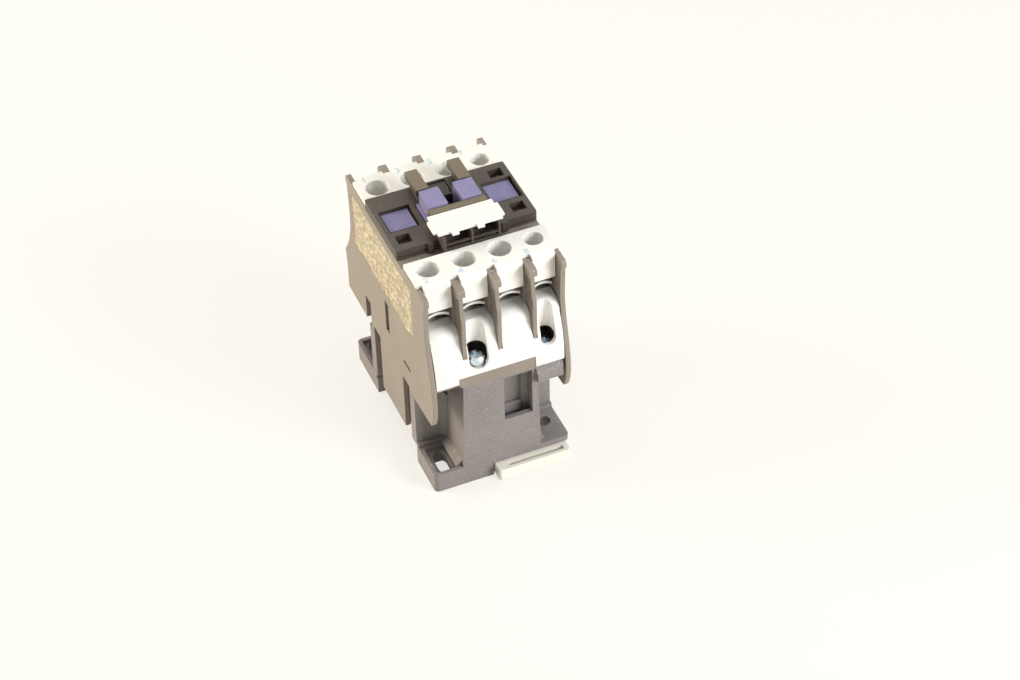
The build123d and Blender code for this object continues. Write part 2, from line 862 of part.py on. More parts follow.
def cover_pockets(body):
    """The square blind pockets, each with its own floor below the skin."""
    near = (pocket_near_y[0], pocket_near_y[1])
    places = [(-1, near), (1, near), (1, pocket_far_y)]
    for side, (y0, y1) in places:
        x0, x1 = side * pocket_x[0], side * pocket_x[1]
        body += block(
            x0 - side * pocket_wall, x1 + side * pocket_wall,
            y0 - pocket_wall, y1 + pocket_wall, chamber_top, front_z
        )
    for side, (y0, y1) in places:
        x0, x1 = side * pocket_x[0], side * pocket_x[1]
        body -= block(x0, x1, y0, y1, front_z - pocket_depth, front_z + over)
    return body


def front_cover():
    """The front plate with its openings, posts, tongue and plate bracket."""
    body = plate_round(-half_width, half_width, cover_near_y, cover_far_y, chamber_top, front_z, cover_round)
    rim = side_wall
    room = half_width - rim
    body -= block(-room, room, cover_near_y + rim, cover_far_y - rim, chamber_top - over, cover_skin_z)
    body = cover_pockets(body)
    body += cover_posts() + plate_bracket()
    gate_x = block_x[1] + ledge_out + opening_gap
    body -= block(
        -gate_x, gate_x, block_y[0] - opening_gap,
        block_y[1] + 2 * opening_gap, chamber_top - over, front_z + over
    )
    port = block(port_x[0], port_x[1], port_y[0], port_y[1], chamber_top - over, front_z + over)
    body -= Pos(port_shift, 0, 0) * mirrored(port)
    hatch = block(
        tray_x[0] - over, tray_x[1] + over, hatch_near_y,
        tray_y[0] + join, chamber_top - over, front_z + over
    )
    body -= hatch
    tray = block(
        tray_x[0], tray_x[1], tray_y[0], tray_y[1], front_z - tray_sink - tray_rim, front_z + tray_rim
    )
    room_x = (tray_x[0] + tray_rim, tray_x[1] - tray_rim)
    room_y = (tray_y[0] + tray_rim, tray_y[1] - tray_rim)
    tray_floor = Polyline(
        (room_y[0], front_z + over), (room_y[0], front_z - tray_sink),
        (room_y[1], front_z), (room_y[1], front_z + over),
        close=True,
    )
    body += tray
    body -= outline_x(tray_floor, room_x[0], room_x[1])
    groove_z = chamber_top + groove_rise
    groove = block(
        -half_width - over, half_width + over, cover_near_y - over, cover_near_y + groove_depth,
        groove_z, groove_z + groove_t,
    )
    keep = block(
        -frame_half_x, frame_half_x, cover_near_y - 2 * over, cover_near_y + over, chamber_top, front_z
    )
    near = cover_near_y - lug_out - over
    lugs = block(lug_x - lug_half, lug_x + lug_half, near, cover_near_y + over, chamber_top, front_z)
    return body - (groove - keep - mirrored(lugs))


def marker_plate():
    """The blank plate: stepped ends and two small tabs at its near edge."""
    y0, y1 = plate_y
    top = plate_foot + plate_t
    plate = block(-plate_half_x + over, plate_half_x - over, y0, y1, plate_foot, top)
    plate += block(-plate_half_x, plate_half_x, y0 + plate_step[0], y1 - plate_step[1], plate_foot, top)
    for x in plate_tab_x:
        plate += block(x - plate_tab_w / 2, x + plate_tab_w / 2, y0 - plate_tab_l, y0 + over, plate_foot, top)
    return plate


def terminal_cover(side):
    """The white cover over four terminals: a plate, four tongues with skirts, and four driver tubes."""
    edge = half_width - cover_edge_gap
    inner = side * cover_inner_y
    body = block(-edge, edge, inner, side * (head_start - fit_step), wall_top, terminal_cover_top)
    for index, x in enumerate(pole_x):
        low, high = pole_lows[index] + pole_gap, pole_highs[index] - pole_gap
        front = side * cover_front_y
        under = wall_top - tongue_drop
        body += block(low, high, inner, side * (cover_front_y - cover_corner_r), under, terminal_cover_top)
        skirt = block(low, high, side * (head_start - over), front, cover_skirt_z, terminal_cover_top)
        edges = skirt.edges().filter_by(Axis.X).group_by(Axis.Z)[-1]
        edges = edges.sort_by(Axis.Y)[0] if side < 0 else edges.sort_by(Axis.Y)[-1]
        skirt = fillet(edges, cover_corner_r)
        room = block(
            low - over, high + over, side * (head_start - 2 * over), side * (cover_front_y - cover_skirt_t),
            cover_skirt_z - over, under,
        )
        body += skirt - room
        r = hole_r[index]
        body += prism_round(x, side * terminal_y, r + tube_wall, tube_foot_z, wall_top, tube_sides)
        body -= prism_round(
            x, side * terminal_y, r, tube_foot_z - over, terminal_cover_top + over, tube_sides
        )
    return body


def shroud_lines(side, foot, wall):
    """The curved outline of a lower shroud: its shell, or the whole form when no wall is given."""
    flat, reach = shroud_flat_y, shroud_flat_y + shroud_corner_r
    low = shroud_top - shroud_corner_r
    turn = shroud_corner_r * cos(pi / 4)

    def at(y, z):
        return (side * y, z)

    outer = Line(at(shroud_inner_y, shroud_top), at(flat, shroud_top))
    outer += ThreePointArc(at(flat, shroud_top), at(flat + turn, low + turn), at(reach, low))
    outer += ThreePointArc(at(reach, low), at(*shroud_belly), at(shroud_reach, foot))
    if not wall:
        back = Polyline(at(shroud_reach, foot), at(shroud_inner_y, foot), at(shroud_inner_y, shroud_top))
        return outer + back
    turn = (shroud_corner_r - wall) * cos(pi / 4)
    inner = Line(at(shroud_reach, foot), at(shroud_reach - wall, foot))
    inner += ThreePointArc(
        at(shroud_reach - wall, foot), at(shroud_belly[0] - wall, shroud_belly[1]), at(reach - wall, low)
    )
    inner += ThreePointArc(at(reach - wall, low), at(flat + turn, low + turn), at(flat, shroud_top - wall))
    inner += Polyline(
        at(flat, shroud_top - wall), at(shroud_inner_y, shroud_top - wall), at(shroud_inner_y, shroud_top)
    )
    return outer + inner


def lower_shroud(side):
    """The curved white shroud under the wire entries, with two scooped driver channels."""
    edge = inner_half - pole_gap
    foot = ear_z + clamp_gap
    body = outline_x(shroud_lines(side, foot, shroud_t), -edge, edge)
    whole = outline_x(shroud_lines(side, foot, 0), -edge, edge)
    channels = (
        (side * case_screw_x, case_screw_y, driver_channel_r, driver_channel_back, driver_channel_sill),
        (-side * coil_terminal_x, coil_terminal_y, coil_channel_r, coil_channel_back, coil_channel_sill),
    )
    for x, y, r, back, sill in channels:
        body += prism_round(x, side * y, r + channel_wall, back, shroud_top, tube_sides) & whole
    far_y = side * (shroud_reach + 2 * over)
    near_y = side * (shroud_inner_y - over)
    for x in barrier_x:
        half = barrier_web_t / 2 + web_slot_gap
        body -= block(x - half, x + half, near_y, far_y, barrier_foot_z - seat_gap, shroud_top + over)
    lip_x = (side * (lip_half_x + clamp_gap), -side * (horn_inner_x - clamp_gap))
    body -= block(lip_x[0], lip_x[1], near_y, far_y, foot - over, lip_top_z)
    body -= block(
        side * (lip_half_x - over), side * (inner_half + over), near_y, far_y, foot - over, shroud_foot_z
    )
    for x, y, r, back, sill in channels:
        body -= prism_round(x, side * y, r, sill, shroud_top + over, tube_sides)
        mouth = (side * y, far_y)
        body -= block(x - r, x + r, mouth[0], mouth[1], sill + r, shroud_top + over)
        body -= bar_round(x, sill + r, r, min(mouth), max(mouth))
    return body


def fixed_contact(index, side):
    """A terminal strip: straight for the auxiliary pole, stepped down inside for a main pole."""
    end, inner = shelf_end_y, strip_inner_end
    low = strip_top - strip_drop
    if index < main_poles:
        points = [
            (end, strip_top), (riser_y, strip_top), (riser_y, low), (inner, low), (inner, low - strip_t),
            (riser_y + strip_t, low - strip_t), (riser_y + strip_t, strip_foot), (end, strip_foot),
        ]
        tip = (low, low + tip_h)
    else:
        points = [(end, strip_top), (inner, strip_top), (inner, strip_foot), (end, strip_foot)]
        tip = (strip_foot - tip_h, strip_foot)
    x = pole_x[index]
    half = strip_width(index) / 2
    strip = outline_x(Polyline(*[(side * y, z) for y, z in points], close=True), x - half, x + half)
    strip += prism_round(x, side * tip_y, tip_r, tip[0], tip[1])
    return strip - prism_round(x, side * terminal_y, screw_r + thread_gap, low - over, strip_top + over)


def contact_bridge(index):
    """A moving bridge with a silver tip near each end."""
    foot = bridge_z if index < main_poles else aux_bridge_z
    x = pole_x[index]
    half = bridge_width / 2
    bridge = block(x - half, x + half, -bridge_half, bridge_half, foot, foot + bridge_t)
    bridge = chamfer(bridge.edges().filter_by(Axis.Z), bridge_corner)
    tip_foot = foot - tip_h if index < main_poles else foot + bridge_t
    for side in (-1, 1):
        bridge += prism_round(x, side * tip_y, tip_r, tip_foot, tip_foot + tip_h)
    return bridge


def bridge_window(index):
    """The lowest and highest places of the carrier window round one bridge."""
    if index < main_poles:
        return bridge_z - clamp_gap, bridge_z + bridge_t + spring_room
    return aux_bridge_z - spring_room_aux, aux_bridge_z + bridge_t + over_travel + clamp_gap


def contact_spring(index):
    """The spring that presses one bridge towards its fixed contacts."""
    low, high = bridge_window(index)
    foot = bridge_z + bridge_t if index < main_poles else low
    top = high if index < main_poles else aux_bridge_z
    spring = coil_spring(contact_spring_r, contact_wire, top - foot - 2 * contact_gap, contact_turns)
    return Pos(pole_x[index], 0, foot + contact_gap) * spring


def carrier_blocks():
    """The two blue blocks that stand out of the front, each with its stepped ledges."""
    x0, x1 = block_x
    y0, y1 = block_y
    solid = block(x0, x1, y0, y1, slab_top, carrier_top)
    solid += block(x1 - over, x1 + ledge_out, y0, y1, ledge_z - ledge_t, ledge_z)
    solid += block(x0 - ledge_out, x0 + over, y0, y0 + ledge_l, ledge_z - ledge_t, ledge_z)
    return mirrored(solid)


def carrier_pads():
    """The two flat pads in the side windows, each on a stem."""
    x0, x1 = pad_x
    pad = block(x0, x1, pad_y[0], pad_y[1], pad_top - pad_t, pad_top)
    stem = block(x0 + stem_inset, x1 - stem_inset, 0, carrier_half_y, slab_top - over, pad_top - pad_t)
    return Pos(port_shift, 0, 0) * mirrored(pad + stem)


def contact_carrier():
    """The blue moving carrier: a slab with bridge windows, a crossbar, hangers, blocks and pads."""
    body = block(-slab_half_x, slab_half_x, -carrier_half_y, carrier_half_y, slab_foot, slab_top)
    for index, x in enumerate(pole_x):
        low, high = bridge_window(index)
        half = bridge_width / 2 + window_gap
        body -= block(x - half, x + half, -carrier_half_y - over, carrier_half_y + over, low, high)
    body += block(
        -hanger_half_x, hanger_half_x, -crossbar_half_y, crossbar_half_y, slab_foot, slab_foot + crossbar_t
    )
    inner = core_half_y + hanger_gap
    hanger = block(
        -hanger_half_x, hanger_half_x, inner, inner + hanger_t, pin_z - hanger_drop, slab_foot + over
    )
    body += both_ends(hanger)
    body -= prism_bar(0, pin_z, pin_r + fit_gap, -inner - hanger_t - over, inner + hanger_t + over)
    return body + carrier_blocks() + carrier_pads()


def e_core(back, face, leg_side):
    """A laminated E core between its back and its pole faces."""
    yoke = back + leg_side * yoke_t
    body = block(-core_half_x, core_half_x, -core_half_y, core_half_y, back, yoke)
    for x0, x1 in ((-core_half_x, -core_half_x + outer_leg), (-centre_leg_half, centre_leg_half),
                   (core_half_x - outer_leg, core_half_x)):
        body += block(x0, x1, -core_half_y, core_half_y, yoke, face)
    for x in (-rivet_x, rivet_x):
        body -= prism_bar(x, (back + yoke) / 2, rivet_r, -core_half_y - over, core_half_y + over)
    return body


def core_rivets(z):
    """Two rivets through the laminations, with a head at each end."""
    body = None
    for x in (-rivet_x, rivet_x):
        rivet = prism_bar(x, z, rivet_r, -core_half_y, core_half_y)
        rivet += prism_bar(x, z, rivet_head_r, core_half_y, core_half_y + rivet_head_h)
        rivet += prism_bar(x, z, rivet_head_r, -core_half_y - rivet_head_h, -core_half_y)
        body = rivet if body is None else body + rivet
    return body


def ring_frame(grow):
    """One shading ring, a flat rectangular frame sunk in an outer pole face."""
    x = core_half_x - outer_leg / 2
    out_x, out_y = outer_leg / 2 - ring_inset[0], core_half_y - ring_inset[1]
    z0 = core_leg_top - ring_depth - grow
    frame = block(x - out_x - grow, x + out_x + grow, -out_y - grow, out_y + grow, z0, core_leg_top)
    in_x, in_y = out_x - ring_width, out_y - ring_width
    return frame - block(
        x - in_x + grow, x + in_x - grow, -in_y + grow, in_y - grow, z0 - over, core_leg_top + over
    )


def moving_core():
    """The armature, its pole faces down, with the hole for the carrier pin."""
    return e_core(armature_top, armature_foot, -1) - prism_bar(
        0, pin_z, pin_r + fit_gap, -core_half_y - over, core_half_y + over
    )


def fixed_core():
    """The magnet on the rubber pad, its pole faces up and grooved for the shading rings."""
    return e_core(core_foot, core_leg_top, 1) - mirrored(ring_frame(fit_gap))


def coil_bobbin():
    """The bobbin: a square tube between two flanges, with an arm under each coil terminal."""
    in_x, in_y = centre_leg_half + coil_gap, core_half_y + coil_gap
    out_x, out_y = in_x + bobbin_wall, in_y + bobbin_wall
    body = block(-out_x, out_x, -out_y, out_y, bobbin_foot, bobbin_top)
    for z0 in (bobbin_foot, bobbin_top - flange_t):
        flange = block(-flange_half_x, flange_half_x, -flange_half_y, flange_half_y, z0, z0 + flange_t)
        body += chamfer(flange.edges().filter_by(Axis.Z), flange_corner)
    arm = block(
        flange_half_x - arm_lap, coil_terminal_x, -coil_strip_riser_y - over, -coil_strip_foot_y,
        bobbin_top - flange_t, bobbin_top + arm_rise,
    )
    body += arm + Rot(0, 0, 180) * arm
    return body - block(-in_x, in_x, -in_y, in_y, bobbin_foot - over, bobbin_top + over)


def coil_winding():
    """The taped winding between the flanges."""
    in_x, in_y = centre_leg_half + coil_gap + bobbin_wall, core_half_y + coil_gap + bobbin_wall
    out_x, out_y = flange_half_x - winding_inset, flange_half_y - winding_inset
    z0, z1 = bobbin_foot + flange_t, bobbin_top - flange_t
    body = block(-out_x, out_x, -out_y, out_y, z0, z1)
    body = chamfer(body.edges().filter_by(Axis.Z), winding_corner)
    return body - block(-in_x, in_x, -in_y, in_y, z0 - over, z1 + over)


def coil_terminal(side):
    """A coil terminal: a foot on the bobbin arm, a riser, and a strip out to the screw."""
    half = coil_strip_w / 2
    x_in, x_out = coil_terminal_x - half, coil_terminal_x + half
    foot_z = bobbin_top + arm_rise
    back = -coil_strip_riser_y
    strip = block(
        x_in, coil_terminal_x, back - coil_strip_t, -coil_strip_foot_y, foot_z, foot_z + coil_strip_t
    )
    strip += block(x_in, coil_terminal_x, back - coil_strip_t, back, foot_z, coil_strip_top)
    strip += block(x_in, x_out, -coil_strip_end_y, back, ear_z, coil_strip_top)
    strip -= prism_round(
        coil_terminal_x, -coil_terminal_y, screw_r + thread_gap, ear_z - over, coil_strip_top + over
    )
    return strip if side < 0 else Rot(0, 0, 180) * strip


def coil_screw(side):
    """A coil terminal screw with its captive square washer."""
    half = coil_washer_x / 2
    washer = block(-half, half, -coil_head_r, coil_head_r, -coil_washer_t, 0)
    screw = pan_screw(coil_head_r, coil_head_h, screw_r, coil_screw_length) + washer
    return Pos(-side * coil_terminal_x, side * coil_terminal_y, coil_washer_foot + coil_washer_t) * screw


def terminal_screw(index, side):
    """A terminal clamp screw over its strip, in the open position."""
    screw = pan_screw(screw_head_r, screw_head_h, screw_r, screw_length)
    return Pos(pole_x[index], side * terminal_y, clamp_crown + seat_gap) * screw


def clamp_washer(index, side):
    """The arched clamp plate under a terminal screw, reaching out over the end of the shelf."""
    x, half = pole_x[index], pole_room[index] / 2 - clamp_side_gap
    shares = [2 * i / arch_steps - 1 for i in range(arch_steps + 1)]
    low = [(x + half * share, clamp_foot + clamp_rise * (1 - share**2)) for share in shares]
    high = [(across, up + clamp_t) for across, up in reversed(low)]
    y = side * terminal_y
    back, front = y - side * clamp_reach, y + side * clamp_front
    washer = outline_y(Polyline(*low, *high, close=True), min(back, front), max(back, front))
    return washer - prism_round(x, y, screw_r + thread_gap, clamp_foot - over, clamp_crown + over)


def housing_screws():
    """The two long case screws, each in its own channel."""
    body = None
    for side in (-1, 1):
        screw = pan_screw(
            case_screw_head_r, case_screw_head_h, case_screw_r, case_head_foot - case_screw_foot_z
        )
        screw = Pos(side * case_screw_x, side * case_screw_y, case_head_foot) * screw
        body = screw if body is None else body + screw
    return body


def return_springs():
    """The two springs between the bobbin and the crossbar of the carrier."""
    spring = coil_spring(return_spring_r, return_wire, slab_foot - bobbin_top - 2 * contact_gap, return_turns)
    body = Pos(0, -return_spring_y, bobbin_top + contact_gap) * spring
    return body + Pos(0, return_spring_y, bobbin_top + contact_gap) * spring


def din_clip():
    """The sliding rail clip: a nose under the rail, slots for keeper, spring and screw, and a handle slot."""
    x0, x1 = clip_x
    z0, z1 = clip_z
    body = plate_round(x0, x1, -clip_reach, clip_nose_y, z0, z1, clip_round)
    nose = block(x0, x1, clip_nose_y - clip_nose_l, clip_nose_y, z0, z1)
    nose = chamfer(nose.edges().filter_by(Axis.X).group_by(Axis.Z)[0].sort_by(Axis.Y)[-1], clip_nose_chamfer)
    body += nose
    body -= block(
        x0 - over, x1 + over, clip_nose_y - over, clip_nose_y + over, z0 - over, z0 + clip_nose_step
    )
    far = keeper_y[1] + clip_travel + clip_gap
    near = keeper_y[0] - clip_gap
    stem = keeper_half + keeper_gap
    head = keeper_half + keeper_head + keeper_gap
    body -= block(keeper_x - stem, keeper_x + stem, near, far, z0 - over, z1 + over)
    body -= block(keeper_x - head, keeper_x + head, near, far, z0 - over, keeper_head_z[1] + clamp_gap)
    body -= block(
        clip_window_x[0], clip_window_x[1], peg_y[0] - peg_gap, clip_window_far_y, z0 - over, z1 + over
    )
    hole_x, hole_y = foot_pitch_x / 2, -hole_pitch_y / 2
    room = foot_hole_r + clip_gap
    body -= block(
        hole_x - room, hole_x + room, hole_y - room - clip_travel, hole_y + room, z0 - over, z1 + over
    )
    body -= block(
        handle_slot_x[0], handle_slot_x[1], handle_slot_y[0], handle_slot_y[1], z0 - over, z1 + over
    )
    return body


def din_clip_spring():
    """The spring that pushes the clip back under the rail."""
    length = clip_window_far_y - peg_y[1] - 2 * contact_gap
    spring = coil_spring(clip_spring_r, clip_wire, length, clip_turns)
    return Pos(clip_spring_x, clip_window_far_y - contact_gap, clip_spring_z) * Rot(90, 0, 0) * spring


nodes = {
    "base_housing": base_housing(),
    "contact_housing": contact_housing(),
    "front_cover": front_cover(),
    "marker_plate": marker_plate(),
    "line_terminal_cover": terminal_cover(1),
    "load_terminal_cover": terminal_cover(-1),
    "line_lower_shroud": lower_shroud(1),
    "load_lower_shroud": lower_shroud(-1),
    "din_clip": din_clip(),
    "din_clip_spring": din_clip_spring(),
    "housing_screws": housing_screws(),
    "contact_carrier": contact_carrier(),
    "moving_core": moving_core(),
    "moving_core_rivets": core_rivets(armature_top - yoke_t / 2),
    "carrier_pin": prism_bar(0, pin_z, pin_r, -pin_half_y, pin_half_y),
    "fixed_core": fixed_core(),
    "fixed_core_rivets": core_rivets(core_foot + yoke_t / 2),
    "shading_rings": mirrored(ring_frame(0)),
    "core_pad": block(-core_half_x, core_half_x, -core_half_y, core_half_y, cavity_floor, core_foot),
    "coil_bobbin": coil_bobbin(),
    "coil_winding": coil_winding(),
    "coil_terminal_a1": coil_terminal(1),
    "coil_terminal_a2": coil_terminal(-1),
    "coil_screw_a1": coil_screw(1),
    "coil_screw_a2": coil_screw(-1),
    "return_springs": return_springs(),
}
for pole in range(main_poles + 1):
    nodes[f"contact_bridge_{pole + 1}"] = contact_bridge(pole)
    nodes[f"contact_spring_{pole + 1}"] = contact_spring(pole)
    for end, number in ((1, 2 * pole + 1), (-1, 2 * pole + 2)):
        nodes[f"fixed_contact_{number}"] = fixed_contact(pole, end)
        nodes[f"terminal_screw_{number}"] = terminal_screw(pole, end)
        nodes[f"clamp_washer_{number}"] = clamp_washer(pole, end)

os.makedirs("parts", exist_ok=True)
for name, solid in nodes.items():
    export_step(solid, f"parts/{name}.step")
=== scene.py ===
import bpy
import json
import math
from mathutils import Matrix, Vector


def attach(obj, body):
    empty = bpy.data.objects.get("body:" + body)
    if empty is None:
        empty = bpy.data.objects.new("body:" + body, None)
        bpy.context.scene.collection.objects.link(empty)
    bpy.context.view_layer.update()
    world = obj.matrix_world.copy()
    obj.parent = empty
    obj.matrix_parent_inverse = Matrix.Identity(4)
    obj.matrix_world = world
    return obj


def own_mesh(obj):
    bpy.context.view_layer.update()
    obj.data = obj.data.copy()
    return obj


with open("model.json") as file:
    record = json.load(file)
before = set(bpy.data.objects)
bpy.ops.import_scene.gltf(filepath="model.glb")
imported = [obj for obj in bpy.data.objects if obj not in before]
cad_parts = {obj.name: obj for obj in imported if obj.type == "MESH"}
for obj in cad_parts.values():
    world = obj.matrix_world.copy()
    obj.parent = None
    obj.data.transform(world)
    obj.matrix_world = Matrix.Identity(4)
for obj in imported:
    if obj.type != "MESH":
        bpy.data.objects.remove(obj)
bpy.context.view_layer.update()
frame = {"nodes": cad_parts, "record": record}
nodes = frame["nodes"]

MM = 0.001


class Socket:
    """One output of a node. Arithmetic on it adds Math nodes to its graph."""

    def __init__(self, graph, output):
        self.graph = graph
        self.output = output

    def combine(self, operation, first, second):
        return self.graph.node("ShaderNodeMath", {0: first, 1: second}, operation=operation)

    def __add__(self, other):
        return self.combine("ADD", self, other)

    def __radd__(self, other):
        return self.combine("ADD", other, self)

    def __sub__(self, other):
        return self.combine("SUBTRACT", self, other)

    def __rsub__(self, other):
        return self.combine("SUBTRACT", other, self)

    def __mul__(self, other):
        return self.combine("MULTIPLY", self, other)

    def __rmul__(self, other):
        return self.combine("MULTIPLY", other, self)

    def __gt__(self, other):
        return self.combine("GREATER_THAN", self, other)

    def __lt__(self, other):
        return self.combine("LESS_THAN", self, other)

    def within(self, low, high):
        """1 where the value lies between the two limits, otherwise 0."""
        return (self > low) * (self < high)

    def either(self, other):
        """The larger of two masks."""
        return self.combine("MAXIMUM", self, other)


class Graph:
    """The nodes of a material or of the world."""

    def __init__(self, tree):
        self.tree = tree

    def node(self, kind, inputs=None, output=0, stops=None, **settings):
        """Adds a node: its settings first, then its ramp's stops, then its inputs."""
        added = self.tree.nodes.new(kind)
        for name, value in settings.items():
            setattr(added, name, value)
        if stops:
            ramp = added.color_ramp
            while len(ramp.elements) < len(stops):
                ramp.elements.new(0.5)
            for element, (place, value) in zip(ramp.elements, stops):
                element.position = place
                element.color = (value, value, value, 1.0)
        for name, value in (inputs or {}).items():
            self.feed(added.inputs[name], value)
        return Socket(self, added.outputs[output])

    def feed(self, target, value):
        """Links a socket or sets a plain value."""
        if isinstance(value, Socket):
            self.tree.links.new(value.output, target)
        else:
            target.default_value = value


class Finish(Graph):
    """A procedural material round one Principled shader."""

    def __init__(self, name, **values):
        self.material = bpy.data.materials.new(name)
        self.material.use_nodes = True
        super().__init__(self.material.node_tree)
        self.shader = self.tree.nodes["Principled BSDF"]
        self.place = self.node("ShaderNodeTexCoord", output="Object")
        for socket, value in values.items():
            self.set(socket.replace("_", " "), value)

    def set(self, name, value):
        """Sets or links one socket of the main shader."""
        self.feed(self.shader.inputs[name], value)

    def axis(self, name):
        """One coordinate of the point, in metres."""
        return self.node("ShaderNodeSeparateXYZ", {"Vector": self.place}, output=name)

    def upward(self):
        """1 on faces that look up, within about 45 degrees."""
        normal = self.node("ShaderNodeNewGeometry", output="Normal")
        return self.node("ShaderNodeSeparateXYZ", {"Vector": normal}, output="Z") > 0.7

    def noise(self, scale, detail=2.0, roughness=0.5, stretch=None):
        """Soft noise with so many features to the metre, stretched along the axes if told."""
        place = self.place
        if stretch:
            place = self.node("ShaderNodeMapping", {"Vector": place, "Scale": stretch})
        inputs = {"Vector": place, "Scale": scale, "Detail": detail, "Roughness": roughness}
        return self.node("ShaderNodeTexNoise", inputs)

    def cells(self, scale, output):
        """Cell noise with so many cells to the metre."""
        return self.node("ShaderNodeTexVoronoi", {"Vector": self.place, "Scale": scale}, output=output)

    def specks(self, scale, radius, share):
        """Round specks in a share of the cells, their radius given in cells."""
        lot = self.node("ShaderNodeSeparateColor", {"Color": self.cells(scale, "Color")}, output="Red")
        return (self.cells(scale, "Distance") < radius) * (lot < share)

    def mix(self, share, first, second):
        """Mixes two colours. The Mix node's colour sockets come after those of its other types."""
        inputs = {0: share, 6: first, 7: second}
        return self.node("ShaderNodeMix", inputs, output=2, data_type="RGBA")

    def bump(self, height, strength, depth):
        """Links a relief of so many metres to the shader's normal."""
        inputs = {"Height": height, "Strength": strength, "Distance": depth}
        self.set("Normal", self.node("ShaderNodeBump", inputs))


def colour(red, green, blue):
    """A colour with its alpha."""
    return (red, green, blue, 1.0)


DUST = colour(0.72, 0.66, 0.54)
BASE_TONES = (colour(0.175, 0.160, 0.157), colour(0.303, 0.280, 0.275))
# Painted light: the upper case's tones are a lighter, warmer copy of the lower case's plastic, partly
# for dust and partly for the warm light from the left.
WALL_DUST_AND_LIT_TONES = (colour(0.215, 0.187, 0.158), colour(0.325, 0.284, 0.240))
# The stippled field's tone, and the painted highlight on its raised strokes.
STIPPLE_AND_HIGHLIGHT_TONES = (colour(0.33, 0.275, 0.175), colour(0.60, 0.54, 0.41))
# Painted shade: the front plate's tones are a darker, shaded copy of the cases' plastic.
FRONT_PAINTED_SHADE_TONES = (colour(0.054, 0.043, 0.034), colour(0.086, 0.069, 0.055))
RUBBED_TONE = colour(0.185, 0.150, 0.105)
CARRIER_TONES = (colour(0.190, 0.182, 0.365), colour(0.290, 0.265, 0.425))
SHEET_TONES = (colour(0.36, 0.35, 0.34), colour(0.06, 0.055, 0.05))
TURN_TONES = (colour(0.30, 0.12, 0.04), colour(0.62, 0.34, 0.12))
RUBBER_TONES = (colour(0.012, 0.012, 0.012), colour(0.03, 0.03, 0.03))
INK_TONES = (colour(0.34, 0.53, 0.72), colour(0.52, 0.68, 0.80))
PANEL_FACE_X = -22.2 * MM
PANEL_Y = (-21.0 * MM, 28.0 * MM)
PANEL_Z = (53.0 * MM, 72.5 * MM)
POST_HEAD_Z = 84.2 * MM
LEDGE_BELOW_Z = 77.5 * MM


def dusty_plastic(finish, base, scattered, settled, strength=0.7):
    """Adds scattered pale specks and dust lying on the upward faces. Gives the colour and the dust."""
    coarse = finish.specks(750, radius=0.11, share=scattered * 0.8)
    specks = coarse.either(finish.specks(1700, radius=0.18, share=scattered))
    patches = finish.noise(180, detail=2) > 0.47
    lying = finish.upward() * finish.specks(1900, radius=0.3, share=settled) * patches
    dust = specks.either(lying) * strength
    return finish.mix(dust, base, DUST), dust


def moulded_grain(finish, dust, rough, strength=0.5):
    """The fine grain of a moulded surface, rougher where dust lies."""
    grain = finish.noise(5200, detail=2, roughness=0.6)
    finish.set("Roughness", rough + grain * 0.16 + dust * 0.25)
    return grain * strength


def base_plastic():
    """Charcoal moulded plastic of the lower case, with pale dust all over."""
    finish = Finish("base_plastic", Specular_IOR_Level=0.4)
    clouds = finish.noise(70, detail=4) * 0.5 + finish.noise(900, detail=3) * 0.5
    base = finish.mix(clouds, *BASE_TONES)
    tone, dust = dusty_plastic(finish, base, 0.26, 0.34)
    finish.set("Base Color", tone)
    finish.bump(moulded_grain(finish, dust, 0.48) + dust, strength=0.4, depth=0.06 * MM)
    return finish.material


def wall_plastic():
    """The upper case's plastic, painted lighter and warmer than the lower case's, partly as dust and
    partly as light from the left, with a cream stippled field on the left wall whose raised strokes
    carry a painted highlight.
    """
    finish = Finish("wall_plastic", Specular_IOR_Level=0.4)
    clouds = finish.noise(55, detail=4) * 0.6 + finish.noise(900, detail=3) * 0.4
    # Painted light: lighter and warmer than the lower case, partly dust and partly the warm light from
    # the left.
    base = finish.mix(clouds, *WALL_DUST_AND_LIT_TONES)
    tone, dust = dusty_plastic(finish, base, 0.10, 0.16)
    field = (finish.axis("X") < PANEL_FACE_X) * finish.axis("Y").within(*PANEL_Y)
    field = field * finish.axis("Z").within(*PANEL_Z)
    strokes = finish.noise(1000, detail=3, roughness=0.55, stretch=(1.0, 0.55, 1.25))
    # Painted highlight: the raised strokes are coloured lighter as well as bumped.
    raised_and_highlit = finish.node("ShaderNodeValToRGB", {"Fac": strokes}, stops=((0.44, 0.0), (0.60, 1.0)))
    stipple = finish.mix(raised_and_highlit, *STIPPLE_AND_HIGHLIGHT_TONES)
    finish.set("Base Color", finish.mix(field, tone, stipple))
    grain = moulded_grain(finish, dust, 0.46)
    finish.bump(grain * (1.0 - field) + raised_and_highlit * field * 1.8, strength=0.5, depth=0.07 * MM)
    return finish.material


def front_plastic():
    """The front plate, painted darker than the cases as a shaded copy of the same plastic, rubbed pale
    on the heads of its two posts.
    """
    finish = Finish("front_plastic", Specular_IOR_Level=0.45)
    clouds = finish.noise(80, detail=4)
    # Painted shade: the same plastic as the cases, coloured darker as its upward faces look in shade.
    base = finish.mix(clouds, *FRONT_PAINTED_SHADE_TONES)
    rubbed = (finish.axis("Z") > POST_HEAD_Z) * (0.65 + clouds * 0.5)
    base = finish.mix(rubbed, base, RUBBED_TONE)
    tone, dust = dusty_plastic(finish, base, 0.012, 0.02, strength=0.45)
    ledge = finish.upward() * (finish.axis("Z") < LEDGE_BELOW_Z)
    lint = ledge * finish.specks(2100, radius=0.34, share=0.5) * 0.35
    finish.set("Base Color", finish.mix(lint, tone, DUST))
    finish.bump(moulded_grain(finish, dust, 0.42), strength=0.4, depth=0.06 * MM)
    return finish.material


